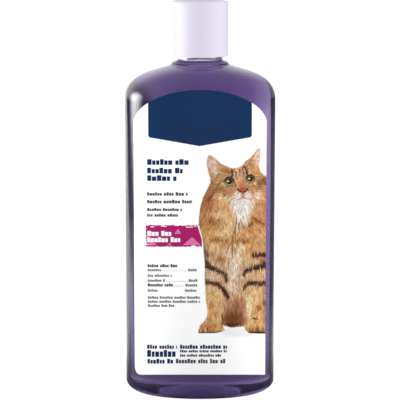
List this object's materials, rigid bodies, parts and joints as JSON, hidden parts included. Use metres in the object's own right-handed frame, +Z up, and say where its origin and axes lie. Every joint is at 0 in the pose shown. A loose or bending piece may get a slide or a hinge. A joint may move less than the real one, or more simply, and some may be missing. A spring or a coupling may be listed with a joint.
{
  "type": "shampoo bottle",
  "caption": "Clear oval bottle of violet shampoo with a screw-on press-top cap whose disc rocks to open a spout, and a printed label front and back.",
  "frame": {"origin": "centre of the base, on the surface that the bottle stands on", "axes": "+Z up along the neck, -Y out of the front label, X across the bottle's width"},
  "size_m": [0.0728, 0.0428, 0.1919],
  "materials": {
    "clear_pet": "gloss",
    "shampoo": "gloss",
    "label_film": "satin",
    "white_plastic": "gloss",
    "liner_foam": "matte"
  },
  "bodies": {
    "bottle": {"bottle": "clear_pet", "shampoo": "shampoo", "front_label": "label_film", "back_label": "label_film"},
    "cap_lift": {"cap_liner": "liner_foam"},
    "cap": {"cap_body": "white_plastic"},
    "disc": {"press_disc": "white_plastic"}
  },
  "joints": [
    {"name": "cap_rise", "type": "slide", "parent": "bottle", "child": "cap_lift", "axis": [0, 0, 1], "range_m": [0, 0.0175]},
    {"name": "cap_turn", "type": "hinge", "parent": "cap_lift", "child": "cap", "pos_m": [0, 0, 0.1657], "axis": [0, 0, 1], "range_deg": [0, 1980]},
    {"name": "disc_tilt", "type": "hinge", "parent": "cap", "child": "disc", "pos_m": [0, 0, 0.1897], "axis": [-1, 0, 0], "range_deg": [0, 28]}
  ],
  "couplings": [
    {"joint": "cap_rise", "follows": "cap_turn", "m_per_rad": 0.00050532}
  ]
}
